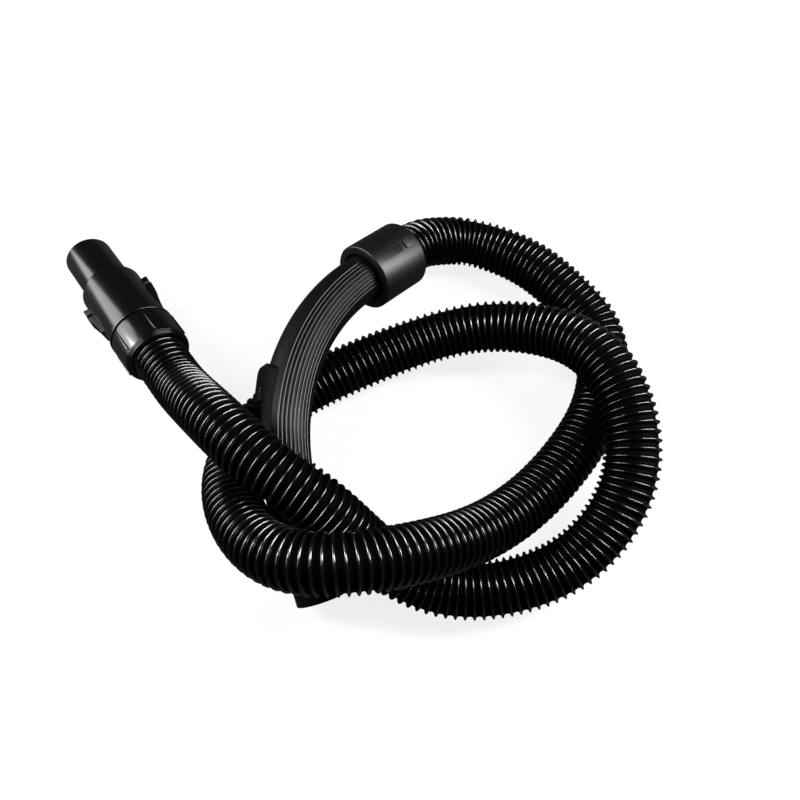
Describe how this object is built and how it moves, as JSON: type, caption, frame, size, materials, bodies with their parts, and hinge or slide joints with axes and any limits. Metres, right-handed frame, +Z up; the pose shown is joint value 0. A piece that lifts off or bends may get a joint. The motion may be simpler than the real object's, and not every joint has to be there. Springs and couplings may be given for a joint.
{
  "type": "vacuum cleaner hose",
  "caption": "Flexible ribbed suction hose with a latching machine connector at one end and a bent, ridged wand handle with an air slider at the other.",
  "frame": {"origin": "on the floor under the middle of the box round the connector and the handle", "axes": "+Z up, the hose lies in its loops on the floor; +X to the right and +Y to the back as the loops are seen from the front"},
  "size_m": [0.4574, 0.3315, 0.1068],
  "materials": {
    "hose_black": "glossy black soft plastic, ribbed",
    "satin_black": "satin black moulded plastic",
    "collar_black": "fine-grained satin black moulded plastic",
    "handle_black": "satin black moulded plastic with polished ridges",
    "latch_black": "dull black moulded plastic",
    "sleeve_black": "dull black threaded sleeve plastic",
    "bearing_white": "low-friction washer plastic",
    "felt_grey": "dense felt"
  },
  "bodies": {
    "hose_and_handle": {"hose": "hose_black", "hose_ferrule": "sleeve_black", "swivel_cuff": "satin_black", "cuff_end_ring": "sleeve_black", "swivel_seal": "felt_grey", "swivel_washer": "bearing_white", "collar": "collar_black", "snap_key_upper": "sleeve_black", "snap_key_lower": "sleeve_black", "sleeve_seal": "felt_grey", "handle_tube": "handle_black", "slider_housing": "handle_black"},
    "machine_connector": {"spigot_tube": "satin_black", "body_shell": "satin_black", "body_rear_ring": "satin_black"},
    "left_latch": {"latch_left": "latch_black"},
    "right_latch": {"latch_right": "latch_black"},
    "hose_end_sleeve": {"wand_sleeve": "sleeve_black"},
    "slider": {"air_slider": "latch_black", "slider_pad": "felt_grey"}
  },
  "joints": [
    {"name": "connector_swivel", "type": "hinge", "parent": "hose_and_handle", "child": "machine_connector", "pos_m": [-0.07128, 0.0543, 0.03721], "axis": [0.5927, -0.7865, 0.1736], "continuous": true},
    {"name": "left_latch_press", "type": "hinge", "parent": "machine_connector", "child": "left_latch", "pos_m": [-0.09507, 0.04931, 0.03538], "axis": [0.1045, -0.1387, -0.9848], "range_deg": [0, 4], "stiffness_Nm_per_rad": 1, "springref_deg": -1.15},
    {"name": "right_latch_press", "type": "hinge", "parent": "machine_connector", "child": "right_latch", "pos_m": [-0.05993, 0.07579, 0.03538], "axis": [-0.1045, 0.1387, 0.9848], "range_deg": [0, 4], "stiffness_Nm_per_rad": 1, "springref_deg": -1.15},
    {"name": "wand_swivel", "type": "hinge", "parent": "hose_and_handle", "child": "hose_end_sleeve", "pos_m": [0.11961, 0.11977, 0.04062], "axis": [-0.671, -0.6948, 0.2588], "continuous": true},
    {"name": "air_slide", "type": "slide", "parent": "hose_and_handle", "child": "slider", "axis": [-0.0699, -0.9867, -0.1464], "range_m": [0, 0.012]}
  ]
}
